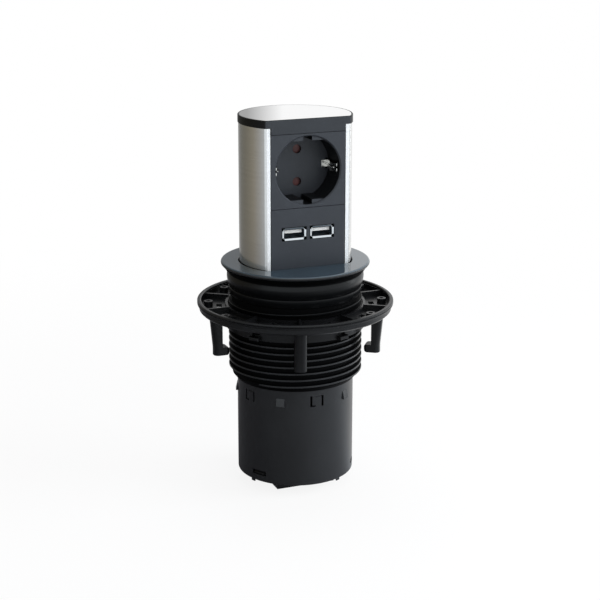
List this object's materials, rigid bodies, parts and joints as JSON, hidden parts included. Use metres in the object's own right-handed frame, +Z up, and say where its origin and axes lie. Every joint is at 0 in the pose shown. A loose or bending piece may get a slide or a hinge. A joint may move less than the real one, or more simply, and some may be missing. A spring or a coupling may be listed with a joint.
{
  "type": "pop up desk socket",
  "caption": "Sprung round tower with an earthed socket and charging ports, sliding in a threaded desk housing with a wing nut.",
  "frame": {"origin": "on the tower's axis at the underside of the cover ring, in the plane of the desk's surface", "axes": "+Z up along the tower, -Y out of the socket's face, +X to the right as seen from the front"},
  "size_m": [0.1152, 0.1152, 0.221],
  "materials": {
    "gloss_black": "polished",
    "black_plastic": "moulded satin",
    "dark_panel": "fine matt",
    "brushed_sleeve": "brushed upright",
    "brushed_plate": "brushed",
    "nickel": "nickel plated",
    "zinc": "zinc plated",
    "spring_wire": "drawn",
    "contact_brass": "pressed",
    "acetal": "natural acetal",
    "shutter_red": "matt",
    "bumper_rubber": "matt",
    "lead_jacket": "matt jacket",
    "board_green": "solder mask",
    "winding": "taped winding",
    "can_sleeve": "shrink sleeve",
    "tongue_white": "moulded"
  },
  "bodies": {
    "housing": {"cover_ring": "gloss_black", "threaded_sleeve": "black_plastic", "lower_can": "black_plastic", "bottom_cover": "black_plastic", "inlet_block": "black_plastic", "inlet_pins": "nickel", "lift_spring": "spring_wire", "internal_lead": "lead_jacket", "damper_rack": "acetal", "latch_bracket": "zinc", "latch_pin": "zinc"},
    "tower": {"carriage": "black_plastic", "guide_shoes": "acetal", "stop_bumper": "bumper_rubber", "latch_striker": "acetal", "damper_body": "black_plastic", "carriage_screws": "zinc", "chassis": "black_plastic", "lead_gland": "bumper_rubber", "tower_sleeve": "brushed_sleeve", "cap": "gloss_black", "cap_plate": "brushed_plate", "socket_face": "dark_panel", "earth_clip": "nickel", "shutter_spring": "spring_wire", "socket_back": "black_plastic", "line_contact": "contact_brass", "neutral_contact": "contact_brass", "socket_screws": "zinc", "usb_panel": "dark_panel", "usb_shell_left": "nickel", "usb_shell_right": "nickel", "usb_tongues": "tongue_white", "charger_board": "board_green", "transformer": "winding", "capacitors": "can_sleeve"},
    "pinion": {"damper_pinion": "acetal"},
    "shutter": {"shutter": "shutter_red"},
    "hook": {"latch_hook": "acetal"},
    "friction_ring": {"clamp_ring": "black_plastic"},
    "nut": {"wing_nut": "black_plastic"}
  },
  "joints": [
    {"name": "tower_lift", "type": "slide", "parent": "housing", "child": "tower", "axis": [0, 0, 1], "range_m": [-0.0856, 0], "stiffness_N_per_m": 55, "springref_m": 0.08, "deforming": ["lift_spring", "internal_lead"]},
    {"name": "pinion_spin", "type": "hinge", "parent": "tower", "child": "pinion", "pos_m": [0.011, -0.0247, -0.017], "axis": [1, 0, 0], "range_deg": [-1410, 5]},
    {"name": "shutter_slide", "type": "slide", "parent": "tower", "child": "shutter", "axis": [1, 0, 0], "range_m": [0, 0.0062], "stiffness_N_per_m": 60, "springref_m": -0.004, "deforming": ["shutter_spring"]},
    {"name": "hook_swing", "type": "hinge", "parent": "housing", "child": "hook", "pos_m": [-0.0095, -0.0272, -0.1145], "axis": [1, 0, 0], "range_deg": [0, 8], "stiffness_Nm_per_rad": 0.01, "springref_deg": -5.73},
    {"name": "nut_travel", "type": "slide", "parent": "housing", "child": "friction_ring", "axis": [0, 0, 1], "range_m": [-0.02717, 0.00777]},
    {"name": "nut_spin", "type": "hinge", "parent": "friction_ring", "child": "nut", "pos_m": [0, 0, -0.025], "axis": [0, 0, 1], "range_deg": [-2520, 720]}
  ],
  "couplings": [
    {"joint": "pinion_spin", "follows": "tower_lift", "rad_per_m": 285.71},
    {"joint": "nut_travel", "follows": "nut_spin", "m_per_rad": 0.00061752}
  ]
}
